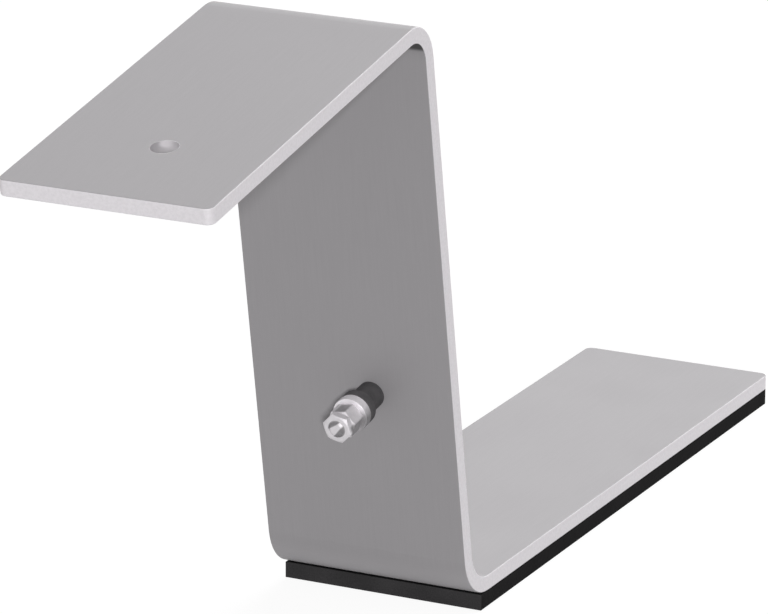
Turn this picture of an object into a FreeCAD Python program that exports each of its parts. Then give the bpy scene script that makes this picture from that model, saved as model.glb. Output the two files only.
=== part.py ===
import FreeCAD, Part
import math
import os
import Sketcher
from FreeCAD import Vector

# Flat roof solar mounting foot. One metal strip is folded into a Z: a flange
# pitched for the module, a web square to it, and a flat base on a rubber pad.
# A bolt stands out of the web with a rubber sleeve, a rubber and a steel
# washer and two nuts on it.
# Frame: +X across the strip, +Y towards the free end of the base, +Z up,
# origin on the ground under the middle of the outline.

# Driving sizes: name, value in millimetres or degrees, meaning
SIZES = [
    ("strip_width", 80.0, "width of the strip and of the pad"),
    ("sheet_gauge", 6.0, "thickness of the strip"),
    ("pitch", 10.0, "slope of the flange and lean of the web, degrees"),
    ("flange_length", 165.0, "outside corner to the free end, along the slope"),
    ("corner_height", 229.0, "outside corner of flange and web over the base underside"),
    ("base_length", 283.0, "foot of the web front face to the free end of the base"),
    ("top_bend_radius", 10.0, "inside radius between flange and web"),
    ("low_bend_radius", 14.0, "inside radius between web and base"),
    ("corner_radius", 3.0, "plan radius of the free corners"),
    ("edge_radius", 0.4, "softened edge of the cut strip"),
    ("pad_thickness", 6.0, "thickness of the rubber pad"),
    ("pad_setback", 10.8, "foot of the web front face to the front edge of the pad"),
    ("flange_hole", 10.0, "diameter of the hole in the flange"),
    ("flange_hole_inset", 39.0, "hole centre to the free end of the flange"),
    ("flange_hole_offset", 2.4, "hole centre to the right of the middle of the strip"),
    ("bolt_rise", 80.8, "bolt axis up the web front face from its foot"),
    ("bolt_inset", 32.4, "bolt axis to the right edge of the strip"),
    ("bolt_diameter", 6.0, "outside diameter of the bolt thread"),
    ("bolt_length", 35.0, "bolt length under its head"),
    ("bolt_clearance", 0.2, "gap round the bolt in the web, rubber and washer"),
    ("thread_gap", 0.05, "gap between the bolt thread and a nut"),
    ("tip_chamfer", 0.7, "chamfer at the bolt tip"),
    ("hex_flats", 10.0, "bolt head and nuts across flats"),
    ("hex_face", 9.2, "diameter of the round face that the corner chamfer leaves"),
    ("hex_slope", 30.0, "slope of the corner chamfer, degrees"),
    ("head_height", 4.0, "height of the bolt head"),
    ("sleeve_length", 10.0, "length of the rubber sleeve"),
    ("sleeve_diameter", 10.2, "outside diameter of the rubber sleeve"),
    ("rubber_washer_thickness", 4.0, "thickness of the rubber washer"),
    ("rubber_washer_diameter", 13.4, "outside diameter of the rubber washer"),
    ("steel_washer_thickness", 3.8, "thickness of the steel washer"),
    ("steel_washer_diameter", 13.4, "outside diameter of the steel washer"),
    ("ring_edge", 0.3, "rounded rims of the sleeve and the washers"),
    ("hex_nut_height", 7.4, "height of the tall nut that clamps the rubber"),
    ("hex_nut_turn", 9.0, "turn of that nut about the bolt, degrees"),
    ("lock_nut_height", 3.2, "height of the lock nut"),
    ("lock_nut_turn", -14.0, "turn of the lock nut about the bolt, degrees"),
]
size = {name: value for name, value, meaning in SIZES}

doc = FreeCAD.newDocument("mounting_foot")
sheet = doc.addObject("Spreadsheet::Sheet", "sizes")
for row, (name, value, meaning) in enumerate(SIZES, start=1):
    sheet.set("A%d" % row, meaning)
    sheet.set("B%d" % row, str(value))
    sheet.setAlias("B%d" % row, name)
doc.recompute()

# Formulas that several pieces share, in the names of the sheet
SLOPE = "(sizes.pitch * 1 deg)"
APEX_Y = "(sizes.sheet_gauge / cos{a} - sizes.corner_height * tan{a})".format(a=SLOPE)
FLANGE_END_Y = "({apex} - sizes.flange_length * cos{a})".format(apex=APEX_Y, a=SLOPE)
MIDDLE_Y = "((sizes.base_length + {end}) / 2)".format(end=FLANGE_END_Y)
BOLT_X = "(sizes.strip_width / 2 - sizes.bolt_inset)"
BOLT_HOLE = "(sizes.bolt_diameter + 2 * sizes.bolt_clearance)"
NUT_BORE = "(sizes.bolt_diameter + 2 * sizes.thread_gap)"
HEX_DROP = "(sizes.hex_flats - sizes.hex_face / 2) * tan(sizes.hex_slope * 1 deg)"

# How far out of the web each piece on the bolt begins
HEAD_OUT = "-sizes.sheet_gauge"
SLEEVE_OUT = "0"
RUBBER_OUT = "sizes.sleeve_length"
STEEL_OUT = RUBBER_OUT + " + sizes.rubber_washer_thickness"
HEX_NUT_OUT = STEEL_OUT + " + sizes.steel_washer_thickness"
LOCK_NUT_OUT = HEX_NUT_OUT + " + sizes.hex_nut_height"

bolt_hole = size["bolt_diameter"] + 2 * size["bolt_clearance"]
nut_bore = size["bolt_diameter"] + 2 * size["thread_gap"]


def make_body(name):
    """A body whose label is the name of its file."""
    body = doc.addObject("PartDesign::Body", name)
    body.Label = name
    return body


def make_sketch(body, name, role):
    """A sketch on one of the body's own origin planes."""
    sketch = body.newObject("Sketcher::SketchObject", name)
    plane = [item for item in body.Origin.OriginFeatures if item.Role == role][0]
    sketch.AttachmentSupport = (plane, [""])
    sketch.MapMode = "FlatFace"
    return sketch


def relate(sketch, kind, *places):
    """A relation between lines, arcs and points, with no size of its own."""
    sketch.addConstraint(Sketcher.Constraint(kind, *places))


def dimension(sketch, name, formula, value, kind, *places):
    """A named dimension that follows a formula of the sheet's sizes."""
    index = sketch.addConstraint(Sketcher.Constraint(kind, *places, value))
    sketch.renameConstraint(index, name)
    sketch.setExpression("Constraints." + name, formula)


def add_circle(sketch, name, formula, diameter):
    """A circle round the origin of the sketch."""
    circle = sketch.addGeometry(Part.Circle(Vector(), Vector(0, 0, 1), diameter / 2))
    relate(sketch, "Coincident", circle, 3, -1, 1)
    dimension(sketch, name, formula, diameter, "Diameter", circle)


def add_pad(body, name, sketch, formula, side="One side", reversed_way=False):
    """A pad as long as its formula says."""
    pad = body.newObject("PartDesign::Pad", name)
    pad.Profile = sketch
    pad.SideType = side
    pad.Reversed = reversed_way
    pad.setExpression("Length", formula)
    doc.recompute()
    return pad


def check_cut(body, name, volume_before):
    """Stop if a cut has left the body whole."""
    doc.recompute()
    if body.Shape.Volume >= volume_before:
        raise RuntimeError(name + " cuts nothing")


def drill(body, name, sketch):
    """A hole from the sketch's plane down through the sheet."""
    before = body.Shape.Volume
    pocket = body.newObject("PartDesign::Pocket", name)
    pocket.Profile = sketch
    pocket.Type = "ThroughAll"
    check_cut(body, name, before)


def edge_names(shape, wanted):
    """Names of the edges that a test picks out."""
    numbered = enumerate(shape.Edges, start=1)
    return ["Edge%d" % number for number, edge in numbered if wanted(edge)]


def soften(body, kind, name, names, size_name, formula):
    """A fillet or chamfer on the named edges of the body's last feature."""
    base = body.Tip
    before = body.Shape.Volume
    feature = body.newObject("PartDesign::" + kind, name)
    feature.Base = (base, names)
    feature.setExpression(size_name, formula)
    check_cut(body, name, before)


def stand_on_ground(body):
    """Place a body that is drawn from the foot of the web's front face."""
    body.setExpression("Placement.Base.y", "-" + MIDDLE_Y)
    body.setExpression("Placement.Base.z", "sizes.pad_thickness")


def stand_on_web(body, out):
    """Place a body that is drawn along +Z on the bolt axis, out of the web."""
    values = {"m": MIDDLE_Y, "a": SLOPE, "out": out}
    y_formula = "-{m} - sizes.bolt_rise * sin{a} - ({out}) * cos{a}".format(**values)
    z_formula = "sizes.pad_thickness + sizes.bolt_rise * cos{a} - ({out}) * sin{a}"
    body.Placement.Rotation = FreeCAD.Rotation(Vector(1, 0, 0), 90 + size["pitch"])
    body.setExpression("Placement.Rotation.Angle", "90 + sizes.pitch")
    body.setExpression("Placement.Base.x", BOLT_X)
    body.setExpression("Placement.Base.y", y_formula)
    body.setExpression("Placement.Base.z", z_formula.format(**values))


def tilted(angle):
    """A turn about the X axis, in degrees."""
    return FreeCAD.Placement(Vector(), FreeCAD.Rotation(Vector(1, 0, 0), angle))


def draw_strip(sketch):
    """The folded strip seen from its right edge, foot of the web at the origin."""
    gauge = size["sheet_gauge"]
    slope = math.radians(size["pitch"])
    top_inner = size["top_bend_radius"]
    low_inner = size["low_bend_radius"]
    top_outer = top_inner + gauge
    low_outer = low_inner + gauge

    up = Vector(-math.sin(slope), math.cos(slope), 0)
    back = Vector(math.cos(slope), math.sin(slope), 0)
    level_up = Vector(0, 1, 0)
    apex_height = size["corner_height"] / math.cos(slope)
    apex = Vector(gauge / math.cos(slope), 0, 0) + up * apex_height
    flange_tip = apex - back * size["flange_length"]
    top_centre = apex - up * top_outer - back * top_outer
    low_centre_x = low_outer * (1 - math.sin(slope)) / math.cos(slope)
    low_centre = Vector(low_centre_x, low_outer, 0)
    base_tip = Vector(size["base_length"], 0, 0)

    ends = {
        "base_under": (base_tip, low_centre - level_up * low_outer),
        "web_front": (low_centre - back * low_outer, top_centre + back * top_inner),
        "flange_under": (top_centre + up * top_inner, flange_tip - up * gauge),
        "flange_end": (flange_tip - up * gauge, flange_tip),
        "flange_top": (flange_tip, top_centre + up * top_outer),
        "web_back": (top_centre + back * top_outer, low_centre - back * low_inner),
        "base_top": (low_centre - level_up * low_inner, base_tip + level_up * gauge),
        "base_end": (base_tip + level_up * gauge, base_tip),
    }
    line = {}
    for name, (start, end) in ends.items():
        line[name] = sketch.addGeometry(Part.LineSegment(start, end))

    low_angles = (math.pi + slope, 1.5 * math.pi)
    top_angles = (slope, slope + 0.5 * math.pi)
    bends = {
        "low_outer": (low_centre, low_outer, low_angles),
        "low_inner": (low_centre, low_inner, low_angles),
        "top_inner": (top_centre, top_inner, top_angles),
        "top_outer": (top_centre, top_outer, top_angles),
    }
    arc = {}
    for name, (centre, radius, angles) in bends.items():
        circle = Part.Circle(centre, Vector(0, 0, 1), radius)
        arc[name] = sketch.addGeometry(Part.ArcOfCircle(circle, *angles))
    corner = sketch.addGeometry(Part.Point(apex), True)

    # Each bend runs smoothly into its flats, with one centre for both faces
    relate(sketch, "Tangent", line["base_under"], 2, arc["low_outer"], 2)
    relate(sketch, "Tangent", arc["low_outer"], 1, line["web_front"], 1)
    relate(sketch, "Tangent", line["web_front"], 2, arc["top_inner"], 1)
    relate(sketch, "Tangent", arc["top_inner"], 2, line["flange_under"], 1)
    relate(sketch, "Tangent", line["flange_top"], 2, arc["top_outer"], 2)
    relate(sketch, "Tangent", arc["top_outer"], 1, line["web_back"], 1)
    relate(sketch, "Tangent", line["web_back"], 2, arc["low_inner"], 1)
    relate(sketch, "Tangent", arc["low_inner"], 2, line["base_top"], 1)
    relate(sketch, "Coincident", arc["low_outer"], 3, arc["low_inner"], 3)
    relate(sketch, "Coincident", arc["top_outer"], 3, arc["top_inner"], 3)

    # The free ends are cut square
    relate(sketch, "Coincident", line["flange_under"], 2, line["flange_end"], 1)
    relate(sketch, "Coincident", line["flange_end"], 2, line["flange_top"], 1)
    relate(sketch, "Coincident", line["base_top"], 2, line["base_end"], 1)
    relate(sketch, "Coincident", line["base_end"], 2, line["base_under"], 1)
    relate(sketch, "Perpendicular", line["flange_end"], line["flange_top"])
    relate(sketch, "Vertical", line["base_end"])

    # The base is level, the web square to the flange, the faces parallel
    relate(sketch, "Horizontal", line["base_under"])
    relate(sketch, "Horizontal", line["base_top"])
    relate(sketch, "Parallel", line["flange_under"], line["flange_top"])
    relate(sketch, "Parallel", line["web_front"], line["web_back"])
    relate(sketch, "Perpendicular", line["web_back"], line["flange_top"])

    # Outside corners that the lengths are taken from
    relate(sketch, "PointOnObject", line["base_under"], 1, -1)
    relate(sketch, "PointOnObject", -1, 1, line["web_front"])
    relate(sketch, "PointOnObject", corner, 1, line["flange_top"])
    relate(sketch, "PointOnObject", corner, 1, line["web_back"])

    dimension(sketch, "gauge", "sizes.sheet_gauge", gauge,
              "DistanceY", line["base_under"], 1, line["base_top"], 2)
    dimension(sketch, "base", "sizes.base_length", size["base_length"],
              "DistanceX", -1, 1, line["base_under"], 1)
    dimension(sketch, "rise", "sizes.corner_height", size["corner_height"],
              "DistanceY", -1, 1, corner, 1)
    dimension(sketch, "flange", "sizes.flange_length", size["flange_length"],
              "Distance", line["flange_top"], 1, corner, 1)
    dimension(sketch, "slope", SLOPE, slope, "Angle", line["flange_top"])
    dimension(sketch, "top_bend", "sizes.top_bend_radius", top_inner,
              "Radius", arc["top_inner"])
    dimension(sketch, "low_bend", "sizes.low_bend_radius", low_inner,
              "Radius", arc["low_inner"])


def is_free_corner(edge):
    """A short straight edge through the sheet at a free corner of the strip."""
    start = edge.firstVertex().Point
    end = edge.lastVertex().Point
    on_side = abs(abs(start.x) - size["strip_width"] / 2) < 0.001
    along_side = abs(start.x - end.x) < 0.001
    through_sheet = abs(edge.Length - size["sheet_gauge"]) < 0.001
    return on_side and along_side and through_sheet and len(edge.Vertexes) == 2


def rim_edges(shape):
    """Names of the edges where the cut rim meets either face of the sheet."""
    full_width = size["strip_width"] - 0.001
    skins = [face for face in shape.Faces if face.BoundBox.XLength > full_width]
    skin_edges = [edge for face in skins for edge in face.Edges]

    def on_one_skin(edge):
        return sum(edge.isSame(other) for other in skin_edges) == 1

    return edge_names(shape, on_one_skin)


def make_bracket():
    """The folded strip, with a hole for a fastener in its flange and its web."""
    body = make_body("bracket")
    outline = make_sketch(body, "strip_outline", "YZ_Plane")
    draw_strip(outline)
    add_pad(body, "strip", outline, "sizes.strip_width", side="Symmetric")
    corners = edge_names(body.Shape, is_free_corner)
    soften(body, "Fillet", "free_corners", corners, "Radius", "sizes.corner_radius")
    rims = rim_edges(body.Shape)
    soften(body, "Fillet", "soft_edges", rims, "Radius", "sizes.edge_radius")

    # Each hole is drawn in the face that it is drilled from
    reach = "(sizes.flange_length - sizes.flange_hole_inset)"
    outline = make_sketch(body, "flange_hole_outline", "XY_Plane")
    outline.AttachmentOffset = tilted(size["pitch"])
    outline.setExpression("AttachmentOffset.Rotation.Angle", "sizes.pitch")
    outline.setExpression("AttachmentOffset.Base.x", "sizes.flange_hole_offset")
    outline.setExpression("AttachmentOffset.Base.y", APEX_Y + " - " + reach + " * cos" + SLOPE)
    outline.setExpression(
        "AttachmentOffset.Base.z", "sizes.corner_height - " + reach + " * sin" + SLOPE
    )
    add_circle(outline, "hole", "sizes.flange_hole", size["flange_hole"])
    drill(body, "flange_hole", outline)

    outline = make_sketch(body, "bolt_hole_outline", "XY_Plane")
    outline.AttachmentOffset = tilted(90 + size["pitch"])
    outline.setExpression("AttachmentOffset.Rotation.Angle", "90 + sizes.pitch")
    outline.setExpression("AttachmentOffset.Base.x", BOLT_X)
    outline.setExpression("AttachmentOffset.Base.y", "-sizes.bolt_rise * sin" + SLOPE)
    outline.setExpression("AttachmentOffset.Base.z", "sizes.bolt_rise * cos" + SLOPE)
    add_circle(outline, "hole", BOLT_HOLE, bolt_hole)
    drill(body, "bolt_hole", outline)
    stand_on_ground(body)
    return body


def make_pad():
    """The rubber pad, flush with the base's sides and free end."""
    body = make_body("rubber_pad")
    sketch = make_sketch(body, "pad_outline", "XY_Plane")
    side = size["strip_width"] / 2
    front = size["pad_setback"]
    rear = size["base_length"]
    corners = [Vector(-side, front, 0), Vector(side, front, 0),
               Vector(side, rear, 0), Vector(-side, rear, 0)]
    for index, start in enumerate(corners):
        sketch.addGeometry(Part.LineSegment(start, corners[(index + 1) % 4]))
    for index in range(4):
        relate(sketch, "Coincident", index, 2, (index + 1) % 4, 1)
    relate(sketch, "Symmetric", 0, 1, 0, 2, -2)
    relate(sketch, "Vertical", 1)
    relate(sketch, "Horizontal", 2)
    relate(sketch, "Vertical", 3)
    dimension(sketch, "width", "sizes.strip_width", size["strip_width"],
              "DistanceX", 0, 1, 0, 2)
    dimension(sketch, "front", "sizes.pad_setback", front, "DistanceY", -1, 1, 0, 1)
    dimension(sketch, "rear", "sizes.base_length", rear, "DistanceY", -1, 1, 2, 1)
    add_pad(body, "slab", sketch, "sizes.pad_thickness", reversed_way=True)

    def at_rear_corner(edge):
        upright = edge.BoundBox.ZLength > size["pad_thickness"] / 2
        return upright and edge.BoundBox.YMin > (front + rear) / 2

    corners = edge_names(body.Shape, at_rear_corner)
    soften(body, "Fillet", "rear_corners", corners, "Radius", "sizes.corner_radius")
    stand_on_ground(body)
    return body


def draw_hexagon(sketch):
    """A hexagon round the origin that can still be turned about it."""
    radius = size["hex_flats"] / 2 / math.cos(math.radians(30))
    corners = []
    for index in range(6):
        angle = math.radians(240 + 60 * index)
        corners.append(Vector(radius * math.cos(angle), radius * math.sin(angle), 0))
    for index, start in enumerate(corners):
        sketch.addGeometry(Part.LineSegment(start, corners[(index + 1) % 6]))
    rim = sketch.addGeometry(Part.Circle(Vector(), Vector(0, 0, 1), radius), True)
    relate(sketch, "Coincident", rim, 3, -1, 1)
    for index in range(6):
        relate(sketch, "Coincident", index, 2, (index + 1) % 6, 1)
        relate(sketch, "PointOnObject", index, 1, rim)
    for index in range(1, 6):
        relate(sketch, "Equal", 0, index)
    dimension(sketch, "corners", "sizes.hex_flats / cos(30 deg)", 2 * radius, "Diameter", rim)


def chamfer_hexagon(body, name, height_formula, height, side):
    """Turn down the corners of a hexagon's upper face, or its lower with side -1."""
    before = body.Shape.Volume
    sketch = make_sketch(body, name + "_outline", "XZ_Plane")
    inner = size["hex_face"] / 2
    outer = size["hex_flats"]
    drop = (outer - inner) * math.tan(math.radians(size["hex_slope"]))
    points = [Vector(inner, side * height, 0), Vector(outer, side * height, 0),
              Vector(outer, side * (height - drop), 0)]
    for index, start in enumerate(points):
        sketch.addGeometry(Part.LineSegment(start, points[(index + 1) % 3]))
    for index in range(3):
        relate(sketch, "Coincident", index, 2, (index + 1) % 3, 1)
    relate(sketch, "Horizontal", 0)
    relate(sketch, "Vertical", 1)

    def rising(low, high):
        return low + high if side > 0 else high + low

    origin = (-1, 1)
    dimension(sketch, "inner", "sizes.hex_face / 2", inner, "DistanceX", *origin, 0, 1)
    dimension(sketch, "outer", "sizes.hex_flats", outer, "DistanceX", *origin, 1, 1)
    dimension(sketch, "height", height_formula, height, "DistanceY", *rising(origin, (0, 1)))
    dimension(sketch, "drop", HEX_DROP, drop, "DistanceY", *rising((1, 2), (1, 1)))
    groove = body.newObject("PartDesign::Groove", name)
    groove.Profile = sketch
    groove.ReferenceAxis = (sketch, ["V_Axis"])
    check_cut(body, name, before)


def make_bolt():
    """The bolt, drawn up from the underside of its head."""
    body = make_body("web_bolt")
    sketch = make_sketch(body, "head_outline", "XY_Plane")
    draw_hexagon(sketch)
    relate(sketch, "Horizontal", 0)
    add_pad(body, "head", sketch, "sizes.head_height", reversed_way=True)
    chamfer_hexagon(body, "head_corners", "sizes.head_height", size["head_height"], -1)
    sketch = make_sketch(body, "shank_outline", "XY_Plane")
    add_circle(sketch, "thread", "sizes.bolt_diameter", size["bolt_diameter"])
    add_pad(body, "shank", sketch, "sizes.bolt_length")

    def at_tip(edge):
        return edge.BoundBox.ZMin > size["bolt_length"] - 0.001

    tip = edge_names(body.Shape, at_tip)
    soften(body, "Chamfer", "tip_edge", tip, "Size", "sizes.tip_chamfer")
    stand_on_web(body, HEAD_OUT)
    return body


def make_nut(name, out):
    """A nut, drawn to either side of its middle; its sizes are named after it."""
    body = make_body(name)
    sketch = make_sketch(body, name + "_outline", "XY_Plane")
    draw_hexagon(sketch)
    turn = math.radians(size[name + "_turn"])
    dimension(sketch, "turn", "sizes.%s_turn * 1 deg" % name, turn, "Angle", 0)
    add_circle(sketch, "bore", NUT_BORE, nut_bore)
    add_pad(body, name + "_hexagon", sketch, "sizes.%s_height" % name, side="Symmetric")
    middle = "sizes.%s_height / 2" % name
    half = size[name + "_height"] / 2
    chamfer_hexagon(body, name + "_front", middle, half, 1)
    chamfer_hexagon(body, name + "_rear", middle, half, -1)
    stand_on_web(body, out + " + " + middle)
    return body


def make_ring(name, out, outside_formula, outside, length_formula):
    """A flat ring or a sleeve round the bolt, with rounded rims."""
    body = make_body(name)
    sketch = make_sketch(body, name + "_outline", "XY_Plane")
    add_circle(sketch, "bore", BOLT_HOLE, bolt_hole)
    add_circle(sketch, "outside", outside_formula, outside)
    add_pad(body, name + "_length", sketch, length_formula)
    rims = edge_names(body.Shape, lambda edge: edge.BoundBox.XLength > outside - 0.001)
    soften(body, "Fillet", name + "_rims", rims, "Radius", "sizes.ring_edge")
    stand_on_web(body, out)
    return body


def make_rings():
    """The rubber sleeve on the bolt, then the rubber and the steel washer."""
    return [
        make_ring("rubber_sleeve", SLEEVE_OUT, "sizes.sleeve_diameter",
                  size["sleeve_diameter"], "sizes.sleeve_length"),
        make_ring("rubber_washer", RUBBER_OUT, "sizes.rubber_washer_diameter",
                  size["rubber_washer_diameter"], "sizes.rubber_washer_thickness"),
        make_ring("steel_washer", STEEL_OUT, "sizes.steel_washer_diameter",
                  size["steel_washer_diameter"], "sizes.steel_washer_thickness"),
    ]


def check_document():
    """Stop if any object has failed or any piece has no valid solid."""
    doc.recompute()
    for item in doc.Objects:
        if "Invalid" in item.State or "Error" in item.State:
            raise RuntimeError("%s failed: %s" % (item.Name, item.State))
    for piece in pieces:
        if piece.Shape.isNull() or not piece.Shape.isValid():
            raise RuntimeError(piece.Label + " has no valid shape")


pieces = [make_bracket(), make_pad(), make_bolt()] + make_rings()
pieces += [make_nut("hex_nut", HEX_NUT_OUT), make_nut("lock_nut", LOCK_NUT_OUT)]
check_document()
os.makedirs("parts", exist_ok=True)
for piece in pieces:
    piece.Shape.exportStep("parts/%s.step" % piece.Label)
    box = piece.Shape.BoundBox
    print("%-14s %9.1f mm3  x %.2f %.2f  y %.2f %.2f  z %.2f %.2f" % (
        piece.Label, piece.Shape.Volume,
        box.XMin, box.XMax, box.YMin, box.YMax, box.ZMin, box.ZMax))
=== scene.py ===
import math

import bmesh
import bpy
from mathutils import Matrix, Vector

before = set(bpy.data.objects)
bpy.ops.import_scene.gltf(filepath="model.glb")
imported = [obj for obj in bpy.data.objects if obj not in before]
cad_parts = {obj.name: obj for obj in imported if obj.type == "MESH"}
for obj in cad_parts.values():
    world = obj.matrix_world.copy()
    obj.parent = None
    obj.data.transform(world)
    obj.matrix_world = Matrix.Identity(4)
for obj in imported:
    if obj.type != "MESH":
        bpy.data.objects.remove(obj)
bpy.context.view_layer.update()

# Sizes of the strip and its hardware, in metres, with the pitch in radians
PITCH = math.radians(10)
GAUGE = 0.006
HALF_WIDTH = 0.040
CORNER_RADIUS = 0.003
CORNER_HEIGHT = 0.229
FLANGE_LENGTH = 0.165
BASE_LENGTH = 0.283
HOLE_RADIUS = 0.005
HOLE_INSET = 0.039
HOLE_OFFSET = 0.0024
BOLT_RISE = 0.0808
BOLT_OFFSET = 0.0076
BOLT_HOLE_RADIUS = 0.0032
LOCK_NUT_FACE = 0.0284
PAD_THICKNESS = 0.006
PAD_SETBACK = 0.0108

# Across the strip, square to the flange, and along the bolt out of the web
RIGHT = Vector((1, 0, 0))
UP = Vector((0, -math.sin(PITCH), math.cos(PITCH)))
OUT = Vector((0, -math.cos(PITCH), -math.sin(PITCH)))

# The foot of the web's front face, the strip's outside upper corner, its two free
# ends, the middles of its two holes on their outer faces, and the front of the pad
APEX_Y = GAUGE / math.cos(PITCH) - CORNER_HEIGHT * math.tan(PITCH)
MIDDLE_Y = (BASE_LENGTH + APEX_Y - FLANGE_LENGTH * math.cos(PITCH)) / 2
FOOT = Vector((0, -MIDDLE_Y, PAD_THICKNESS))
APEX = FOOT + Vector((0, APEX_Y, CORNER_HEIGHT))
FLANGE_END = APEX + OUT * FLANGE_LENGTH
BASE_END_Y = BASE_LENGTH - MIDDLE_Y
HOLE = FLANGE_END - OUT * HOLE_INSET + RIGHT * HOLE_OFFSET
BOLT = FOOT + UP * BOLT_RISE + RIGHT * BOLT_OFFSET
PAD_FRONT_Y = PAD_SETBACK - MIDDLE_Y

# The depth in from an edge over which a cut surface gives way to the rolled face
CUT_DEPTHS = (0.00005, 0.0002)

# The painted highlight on the flange hole's wall: its bearing, depth and half sizes
HOLE_GLINT_BEARING = (RIGHT * -0.35 - OUT * 0.90).normalized()
HOLE_GLINT_DEPTH = 0.0009
HOLE_GLINT_HALF_WIDTH = 0.0027
HOLE_GLINT_HALF_HEIGHT = 0.0018

# Painted shade in the hollow of the upper bend and painted light on the outside of the lower
# one: how far their surface faces down, with -1 square under the flange and 0 like the web, and
# how far they reach
HOLLOW_SHADE_SLOPES = (-0.99, -0.93, -0.55, -0.35)
HOLLOW_SHADE_REACH = (0.020, 0.022)
LOW_BEND_LIGHT_SLOPES = (-0.6, -0.02)
LOW_BEND_LIGHT_HEIGHTS = (0.026, 0.030)

# The painted highlight, a bright bar across the bolt's end: its bearing in degrees and its sizes
HIGHLIGHT_BEARING = 131
HIGHLIGHT_SHIFT = 0.0003
HIGHLIGHT_REACH = 0.003
HIGHLIGHT_HALF_WIDTHS = (0.0006, 0.0013)
HIGHLIGHT_SOFTNESS = 0.0006

# Reflectance and metallic share of the strip's faces, its cuts and the places that differ
FACE_TONES = (0.358, 0.389)
CUT_TONES = (0.82, 0.88)
FACE_METAL = 0.10
CUT_METAL = 0.35
# The flange hole wall's tones are painted light and shade with a painted highlight; the upper
# bend's tone is painted shade, the lower bend's painted light
HOLE_GLINT_TONE = 0.72
HOLE_RIGHT_TONE = 0.64
HOLE_LEFT_TONE = 0.49
HOLE_LOW_TONE = 0.42
HOLLOW_SHADE_TONE = 0.05
LOW_BEND_LIGHT_TONE = 0.49

# How far the tones of rubber and zinc stray from their level, and the zinc's metallic share
RUBBER_SHARES = (0.8, 1.25)
BRIGHT_SHARES = (0.95, 1.05)
SHADE_SHARES = (0.85, 1.15)
ZINC_METAL = 0.2

# The range that a noise texture mostly keeps to
NOISE_SPAN = (0.3, 0.7)

# Lamps: name, direction towards it, strength, and spread in degrees
SUNS = (
    ("key", (0.0, 0.819, 0.574), 0.60, 40),
    ("top", (0.25, 0.433, 0.866), 0.14, 40),
    ("fill", (0.441, -0.858, 0.264), 0.54, 5),
)
AMBIENT = 0.25

# The floor to the light that bounces off it, and as the camera sees it
FLOOR_SIZE = 60.0
FLOOR_DROP = 0.0001
FLOOR_BOUNCE = (0.29, 0.31)
FLOOR_SHADOW = (0.12, 0.13)
FLOOR_GLOW = 0.915

# The camera, its angles in degrees, its lens and sensor in millimetres
CAMERA_AZIMUTH = 26.1641
CAMERA_ELEVATION = 17.2781
CAMERA_ROLL = 0.17
CAMERA_TARGET = Vector((-0.008925, -0.013575, 0.103878))
CAMERA_DISTANCE = 2.071344
CAMERA_LENS = 265.6
CAMERA_SENSOR = 36


def grey(level):
    """A neutral colour with the faintest violet cast."""
    return (level, level * 0.965, level, 1.0)


def white(level):
    """A neutral colour."""
    return (level, level, level, 1.0)


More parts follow.
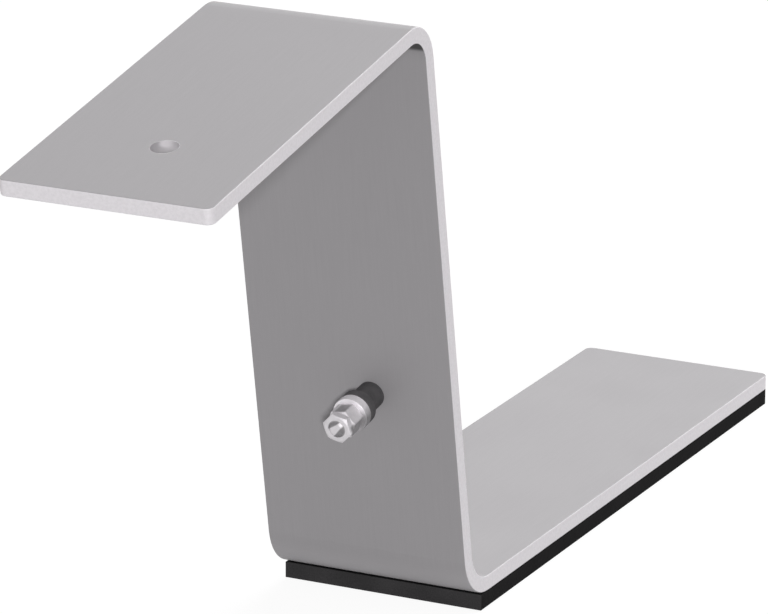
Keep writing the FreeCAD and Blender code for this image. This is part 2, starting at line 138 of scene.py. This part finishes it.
class Paint:
    """A node material, built up from its shader."""

    def __init__(self, name):
        self.material = bpy.data.materials.new(name)
        self.material.use_nodes = True
        self.tree = self.material.node_tree
        self.tree.nodes.clear()
        self.output = self.add("OutputMaterial")
        coordinates = self.add("TexCoord")
        self.place = coordinates.outputs["Object"]
        self.normal = coordinates.outputs["Normal"]

    def add(self, kind, **settings):
        made = self.tree.nodes.new("ShaderNode" + kind)
        for name, value in settings.items():
            setattr(made, name, value)
        return made

    def feed(self, socket, value):
        """Link a node's output to a socket, or set a plain value on it."""
        if isinstance(value, bpy.types.NodeSocket):
            self.tree.links.new(value, socket)
        else:
            socket.default_value = value

    def math(self, operation, *values):
        made = self.add("Math", operation=operation)
        for socket, value in zip(made.inputs, values):
            self.feed(socket, value)
        return made.outputs[0]

    def vector(self, operation, *values):
        made = self.add("VectorMath", operation=operation)
        sockets = made.inputs
        if operation == "SCALE":
            sockets = (made.inputs["Vector"], made.inputs["Scale"])
        for socket, value in zip(sockets, values):
            self.feed(socket, value)
        is_number = operation in ("LENGTH", "DOT_PRODUCT")
        return made.outputs["Value" if is_number else "Vector"]

    def coordinate(self, axis):
        """The place's X, Y or Z."""
        made = self.add("SeparateXYZ")
        self.feed(made.inputs[0], self.place)
        return made.outputs[axis]

    def away(self, point):
        """The place as seen from a point."""
        return self.vector("SUBTRACT", self.place, point)

    def along(self, arrow, direction):
        """How far an arrow reaches in a direction."""
        return self.vector("DOT_PRODUCT", arrow, direction)

    def off_axis(self, point, direction):
        """How far the place is from the line through a point."""
        return self.vector("LENGTH", self.vector("CROSS_PRODUCT", self.away(point), direction))

    def squares(self, first, second):
        """The sum of two squares."""
        return self.math("ADD", self.math("POWER", first, 2.0), self.math("POWER", second, 2.0))

    def blend(self, first, first_share, second, second_share):
        """The sum of two numbers, each times its share."""
        return self.math("ADD", self.math("MULTIPLY", first, first_share),
                         self.math("MULTIPLY", second, second_share))

    def noise(self, place, scale, detail, roughness):
        made = self.add("TexNoise")
        self.feed(made.inputs["Vector"], place)
        made.inputs["Scale"].default_value = scale
        made.inputs["Detail"].default_value = detail
        made.inputs["Roughness"].default_value = roughness
        return made.outputs[0]

    def cells(self, scale):
        """The distance from the middles of small cells."""
        made = self.add("TexVoronoi")
        self.feed(made.inputs["Vector"], self.place)
        made.inputs["Scale"].default_value = scale
        return made.outputs["Distance"]

    def ramp(self, value, low, high, start=0.0, end=1.0):
        """A smooth passage from start at low to end at high."""
        made = self.add("MapRange")
        made.interpolation_type = "SMOOTHSTEP"
        self.feed(made.inputs["Value"], value)
        for name, number in zip(("From Min", "From Max", "To Min", "To Max"),
                                (low, high, start, end)):
            self.feed(made.inputs[name], number)
        return made.outputs["Result"]

    def fade(self, value, low, high):
        """A smooth passage from 1 at low to 0 at high."""
        return self.ramp(value, low, high, 1.0, 0.0)

    def mix(self, factor, first, second):
        made = self.add("Mix", data_type="RGBA")
        self.feed(made.inputs[0], factor)
        self.feed(made.inputs[6], first)
        self.feed(made.inputs[7], second)
        return made.outputs[2]

    def greys(self, factor, first, second):
        return self.mix(factor, grey(first), grey(second))

    def around(self, factor, level, shares):
        """Greys about a level, from its first share to its second."""
        return self.greys(factor, *(level * share for share in shares))

    def shade(self, colour, **settings):
        """A principled shader; a number is set on its socket, a node's output is linked."""
        self.shader = self.add("BsdfPrincipled")
        self.feed(self.shader.inputs["Base Color"], colour)
        for name, value in settings.items():
            self.feed(self.shader.inputs[name.replace("_", " ")], value)
        self.feed(self.output.inputs["Surface"], self.shader.outputs[0])

    def bump(self, height, distance, strength):
        made = self.add("Bump")
        made.inputs["Strength"].default_value = strength
        made.inputs["Distance"].default_value = distance
        self.feed(made.inputs["Height"], height)
        self.feed(self.shader.inputs["Normal"], made.outputs[0])


def outline_rim(paint):
    """A mask of the strip's cut outline, round its free corners too."""
    from_side = paint.math("SUBTRACT", HALF_WIDTH,
                           paint.math("ABSOLUTE", paint.coordinate("X")))
    from_end = paint.math("MINIMUM", paint.along(paint.away(FLANGE_END), -OUT),
                          paint.math("SUBTRACT", BASE_END_Y, paint.coordinate("Y")))
    gaps = [paint.math("MAXIMUM", paint.math("SUBTRACT", CORNER_RADIUS, inside), 0.0)
            for inside in (from_side, from_end)]
    depth = paint.math("SUBTRACT", CORNER_RADIUS, paint.math("SQRT", paint.squares(*gaps)))
    return paint.fade(depth, *CUT_DEPTHS)


def hole_wall(paint, centre, axis, radius):
    """A mask of the wall of a round hole."""
    return paint.fade(paint.off_axis(centre, axis), *(radius + depth for depth in CUT_DEPTHS))


def lit_hole_wall(paint):
    """The flange hole's wall with painted light and shade: a painted highlight at the back near
    the top, lighter on the right than on the left, and painted shade deeper down.
    """
    away = paint.away(HOLE + HOLE_GLINT_BEARING * HOLE_RADIUS - UP * HOLE_GLINT_DEPTH)
    aside = paint.math("DIVIDE", paint.along(away, UP.cross(HOLE_GLINT_BEARING)), HOLE_GLINT_HALF_WIDTH)
    height = paint.math("DIVIDE", paint.along(away, UP), HOLE_GLINT_HALF_HEIGHT)
    shaded = paint.greys(paint.ramp(aside, -1.0, 1.0), HOLE_RIGHT_TONE, HOLE_LEFT_TONE)
    shaded = paint.mix(paint.ramp(height, -2.2, -0.9), grey(HOLE_LOW_TONE), shaded)
    glint = paint.fade(paint.squares(aside, height), 0.2, 1.3)
    return paint.mix(glint, shaded, grey(HOLE_GLINT_TONE))


def bend_hollow(paint, tilt):
    """A mask of the hollow of the upper bend, where shade is painted."""
    inside = paint.math("MULTIPLY", paint.fade(tilt, *HOLLOW_SHADE_SLOPES[2:]),
                        paint.ramp(tilt, *HOLLOW_SHADE_SLOPES[:2]))
    near_bend = paint.fade(paint.off_axis(APEX, RIGHT), *HOLLOW_SHADE_REACH)
    return paint.math("MULTIPLY", inside, near_bend)


def bend_outside(paint, tilt):
    """A mask of the outside of the lower bend, where light is painted."""
    return paint.math("MULTIPLY", paint.fade(tilt, *LOW_BEND_LIGHT_SLOPES),
                      paint.fade(paint.coordinate("Z"), *LOW_BEND_LIGHT_HEIGHTS))


def strip_metal():
    """Matt rolled metal; the cut rims and the bolt hole's wall are paler and cleaner, the flange
    hole's wall cleaner with painted light and shade; painted shade in the upper bend's hollow
    and painted light on the lower bend's outside.
    """
    paint = Paint("strip_metal")
    rim = outline_rim(paint)
    flange_hole = hole_wall(paint, HOLE, UP, HOLE_RADIUS)
    bolt_hole = hole_wall(paint, BOLT, OUT, BOLT_HOLE_RADIUS)

    # Rolling lines run along the strip, over a faint cloudiness
    drawn_out = paint.vector("MULTIPLY", paint.place, (1.0, 0.02, 0.02))
    lines = paint.noise(drawn_out, scale=2600.0, detail=4.0, roughness=0.6)
    cloud = paint.noise(paint.place, scale=26.0, detail=4.0, roughness=0.6)
    grain = paint.noise(paint.place, scale=1800.0, detail=2.0, roughness=0.5)
    saw = paint.noise(paint.place, scale=900.0, detail=3.0, roughness=0.6)
    tone = paint.math("ADD", paint.ramp(cloud, *NOISE_SPAN, -0.3, 0.3),
                      paint.ramp(lines, 0.25, 0.75, -0.5, 0.5))
    tone = paint.math("ADD", paint.math("MULTIPLY", tone, 0.5), 0.5)
    pale_part = paint.greys(paint.ramp(saw, *NOISE_SPAN), *CUT_TONES)
    colour = paint.mix(rim, paint.greys(tone, *FACE_TONES), pale_part)
    colour = paint.mix(bolt_hole, colour, pale_part)
    # Painted light and shade on the flange hole's wall
    colour = paint.mix(flange_hole, colour, lit_hole_wall(paint))

    tilt = paint.along(paint.normal, UP)
    # Painted shade: the hollow of the upper bend is painted dark
    colour = paint.mix(bend_hollow(paint, tilt), colour, grey(HOLLOW_SHADE_TONE))
    # Painted light: the outside of the lower bend, turned down from the light, is painted paler
    colour = paint.mix(bend_outside(paint, tilt), colour, grey(LOW_BEND_LIGHT_TONE))

    cleaned = paint.math("MAXIMUM", rim, paint.math("MAXIMUM", flange_hole, bolt_hole))
    metal = paint.math("MULTIPLY_ADD", cleaned, CUT_METAL - FACE_METAL, FACE_METAL)
    paint.shade(colour, Metallic=metal, Roughness=paint.ramp(cloud, *NOISE_SPAN, 0.54, 0.60))
    paint.bump(paint.blend(lines, 0.6, grain, 0.4), distance=0.00003, strength=0.5)
    return paint.material


def rubber(name, level, granules, lit_front_level=None):
    """Matt black rubber with a fine granular skin; the pad's front end is painted paler, as
    painted light.
    """
    paint = Paint(name)
    grain = paint.noise(paint.place, scale=granules * 2.2, detail=3.0, roughness=0.6)
    blotches = paint.noise(paint.place, scale=granules / 18, detail=3.0, roughness=0.5)
    tone = paint.ramp(paint.blend(grain, 0.5, blotches, 0.5), 0.35, 0.65)
    colour = paint.around(tone, level, RUBBER_SHARES)
    # Painted light: the pad's front end is painted paler than its sides
    if lit_front_level:
        pale_part = paint.fade(paint.coordinate("Y"), PAD_FRONT_Y + 0.0002, PAD_FRONT_Y + 0.0005)
        colour = paint.mix(pale_part, colour, paint.around(tone, lit_front_level, RUBBER_SHARES))
    paint.shade(colour, Roughness=paint.ramp(grain, *NOISE_SPAN, 0.75, 0.9),
                Specular_IOR_Level=0.05)
    height = paint.math("ADD", paint.cells(granules), paint.math("MULTIPLY", grain, 0.5))
    paint.bump(height, distance=0.00012, strength=0.5)
    return paint.material


def zinc(name, bright, shaded, shade_mask):
    """Satin zinc plate, painted darker where its mask says so, as painted shade."""
    paint = Paint(name)
    mottle = paint.noise(paint.place, scale=420.0, detail=4.0, roughness=0.6)
    tone = paint.ramp(mottle, *NOISE_SPAN)
    colour = paint.mix(shade_mask(paint), paint.around(tone, bright, BRIGHT_SHARES),
                       paint.around(tone, shaded, SHADE_SHARES))
    paint.shade(colour, Metallic=ZINC_METAL,
                Roughness=paint.ramp(mottle, *NOISE_SPAN, 0.38, 0.52))
    paint.bump(paint.math("ADD", paint.cells(1400.0), mottle), distance=0.00002, strength=0.4)
    return paint.material


def across_bolt(degrees):
    """The direction square to the bolt at an angle from its right towards the flange."""
    angle = math.radians(degrees)
    return math.cos(angle) * RIGHT + math.sin(angle) * UP


def patch(paint, angle, half_angle, start, end, soft_angle=7, soft_edge=0.0006):
    """A soft mask round one side of the bolt's hardware, between two distances from the web."""
    away = paint.away(BOLT)
    reach = paint.along(away, OUT)
    sideways = paint.vector("SUBTRACT", away, paint.vector("SCALE", OUT, reach))
    facing = paint.along(paint.vector("NORMALIZE", sideways), across_bolt(angle))
    low, high = (math.cos(math.radians(half_angle + soft)) for soft in (soft_angle, -soft_angle))
    middle = paint.math("MULTIPLY", paint.ramp(reach, start - soft_edge, start + soft_edge),
                        paint.fade(reach, end - soft_edge, end + soft_edge))
    return paint.math("MULTIPLY", paint.ramp(facing, low, high), middle)


def shaded_flats(paint):
    """Painted shade on patches on the upper and the right side of the nuts."""
    upper = patch(paint, angle=94, half_angle=21, start=0.0189, end=0.0242)
    right = patch(paint, angle=-20, half_angle=29, start=0.0184, end=0.0272)
    return paint.math("MAXIMUM", upper, right)


def highlight_bar(paint):
    """A painted highlight, a bright bar across the bolt's end and its lock nut, wider towards
    the lower left.
    """
    away = paint.away(BOLT)
    across = paint.along(away, across_bolt(HIGHLIGHT_BEARING))
    lengthwise = paint.along(away, across_bolt(HIGHLIGHT_BEARING + 90))
    off_middle = paint.math("ABSOLUTE", paint.math("SUBTRACT", across, HIGHLIGHT_SHIFT))
    half_width = paint.ramp(lengthwise, -HIGHLIGHT_REACH, HIGHLIGHT_REACH, *HIGHLIGHT_HALF_WIDTHS)
    return paint.fade(paint.math("SUBTRACT", off_middle, half_width), 0.0, HIGHLIGHT_SOFTNESS)


def outside_highlight(paint, mask):
    """What the painted highlight leaves of a mask."""
    return paint.math("MULTIPLY", mask, paint.math("SUBTRACT", 1.0, highlight_bar(paint)))


def shaded_end(paint):
    """Painted shade on the bolt's end, but for the painted highlight across it."""
    past_nut = paint.along(paint.away(BOLT + OUT * LOCK_NUT_FACE), OUT)
    return outside_highlight(paint, paint.ramp(past_nut, -0.0001, 0.0))


def shaded_low_rim(paint):
    """Painted shade round the steel washer's lower right."""
    return paint.ramp(paint.along(paint.away(BOLT), across_bolt(-60)), -0.0014, 0.0038)


def shaded_bore(paint):
    """Painted shade on the lock nut round its bore, but for the painted highlight, and on two
    sides.
    """
    bore = outside_highlight(paint, paint.fade(paint.off_axis(BOLT, OUT), 0.0031, 0.0035))
    return paint.math("MAXIMUM", bore, shaded_flats(paint))


def paper():
    """The floor: white to the camera, darker only in the object's shadow."""
    paint = Paint("floor_paper")
    grain = paint.noise(paint.place, scale=60.0, detail=2.0, roughness=0.5)
    bounce, faint = paint.add("BsdfDiffuse"), paint.add("BsdfDiffuse")
    for shader, levels in ((bounce, FLOOR_BOUNCE), (faint, FLOOR_SHADOW)):
        paint.feed(shader.inputs["Color"], paint.mix(grain, *map(white, levels)))
    glow = paint.add("Emission")
    glow.inputs["Color"].default_value = white(1.0)
    glow.inputs["Strength"].default_value = FLOOR_GLOW
    both = paint.add("AddShader")
    paint.feed(both.inputs[0], faint.outputs[0])
    paint.feed(both.inputs[1], glow.outputs[0])
    path = paint.add("LightPath")
    seen = paint.math("MAXIMUM", path.outputs["Is Camera Ray"], path.outputs["Is Glossy Ray"])
    seen = paint.math("MAXIMUM", seen, path.outputs["Is Transmission Ray"])
    choose = paint.add("MixShader")
    paint.feed(choose.inputs[0], seen)
    paint.feed(choose.inputs[1], bounce.outputs[0])
    paint.feed(choose.inputs[2], both.outputs[0])
    paint.feed(paint.output.inputs["Surface"], choose.outputs[0])
    return paint.material


def wear(name, material):
    """Give a piece its finish."""
    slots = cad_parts[name].data.materials
    slots.clear()
    slots.append(material)


def add_floor():
    """A wide plain sheet under the object."""
    mesh = bpy.data.meshes.new("floor")
    form = bmesh.new()
    half = FLOOR_SIZE / 2
    corners = [(-half, -half), (half, -half), (half, half), (-half, half)]
    form.faces.new([form.verts.new((x, y, -FLOOR_DROP)) for x, y in corners])
    form.to_mesh(mesh)
    form.free()
    floor = bpy.data.objects.new("floor", mesh)
    bpy.context.scene.collection.objects.link(floor)
    mesh.materials.append(paper())


def add_sun(name, toward, strength, spread):
    """A soft lamp that shines from a direction."""
    lamp = bpy.data.lights.new(name, "SUN")
    lamp.energy = strength * math.pi
    lamp.angle = math.radians(spread)
    holder = bpy.data.objects.new(name, lamp)
    holder.rotation_euler = Vector(toward).to_track_quat("Z", "Y").to_euler()
    bpy.context.scene.collection.objects.link(holder)


def add_world():
    """A white surround for the eye and for gloss, and a dimmer one for light."""
    world = bpy.data.worlds.new("surround")
    bpy.context.scene.world = world
    world.use_nodes = True
    tree = world.node_tree
    tree.nodes.clear()
    path = tree.nodes.new("ShaderNodeLightPath")
    seen = tree.nodes.new("ShaderNodeMath")
    seen.operation = "MAXIMUM"
    tree.links.new(path.outputs["Is Camera Ray"], seen.inputs[0])
    tree.links.new(path.outputs["Is Glossy Ray"], seen.inputs[1])
    level = tree.nodes.new("ShaderNodeMapRange")
    tree.links.new(seen.outputs[0], level.inputs["Value"])
    level.inputs["To Min"].default_value = AMBIENT
    level.inputs["To Max"].default_value = 1.0
    glow = tree.nodes.new("ShaderNodeBackground")
    glow.inputs["Color"].default_value = white(1.0)
    tree.links.new(level.outputs["Result"], glow.inputs["Strength"])
    output = tree.nodes.new("ShaderNodeOutputWorld")
    tree.links.new(glow.outputs[0], output.inputs["Surface"])


def add_camera():
    """A long lens, in front of the object on its right and a little above."""
    azimuth, elevation, roll = map(
        math.radians, (CAMERA_AZIMUTH, CAMERA_ELEVATION, CAMERA_ROLL))
    back = Vector((
        math.sin(azimuth) * math.cos(elevation),
        -math.cos(azimuth) * math.cos(elevation),
        math.sin(elevation),
    ))
    right = (-back).cross(Vector((0, 0, 1))).normalized()
    above = back.cross(right)
    turned_right = math.cos(roll) * right + math.sin(roll) * above
    turned_above = -math.sin(roll) * right + math.cos(roll) * above
    lens = bpy.data.cameras.new("camera")
    lens.sensor_width = CAMERA_SENSOR
    lens.lens = CAMERA_LENS
    camera = bpy.data.objects.new("camera", lens)
    placing = Matrix((turned_right, turned_above, back)).transposed().to_4x4()
    placing.translation = CAMERA_TARGET + back * CAMERA_DISTANCE
    camera.matrix_world = placing
    bpy.context.scene.collection.objects.link(camera)
    bpy.context.scene.camera = camera


wear("bracket", strip_metal())
wear("rubber_pad", rubber("pad_rubber", level=0.014, granules=900.0, lit_front_level=0.048))
wear("rubber_sleeve", rubber("sleeve_rubber", level=0.10, granules=2500.0))
wear("rubber_washer", rubber("washer_rubber", level=0.13, granules=2500.0))
# The zinc parts carry painted shade on some sides and faces, and the bolt's end a painted
# highlight
wear("steel_washer", zinc("zinc_washer", bright=0.94, shaded=0.36, shade_mask=shaded_low_rim))
wear("hex_nut", zinc("zinc_nut", bright=0.78, shaded=0.38, shade_mask=shaded_flats))
wear("lock_nut", zinc("zinc_lock_nut", bright=0.80, shaded=0.30, shade_mask=shaded_bore))
wear("web_bolt", zinc("zinc_bolt", bright=0.82, shaded=0.26, shade_mask=shaded_end))

add_floor()
add_world()
for sun in SUNS:
    add_sun(*sun)
add_camera()
bpy.context.scene.view_settings.view_transform = "Standard"
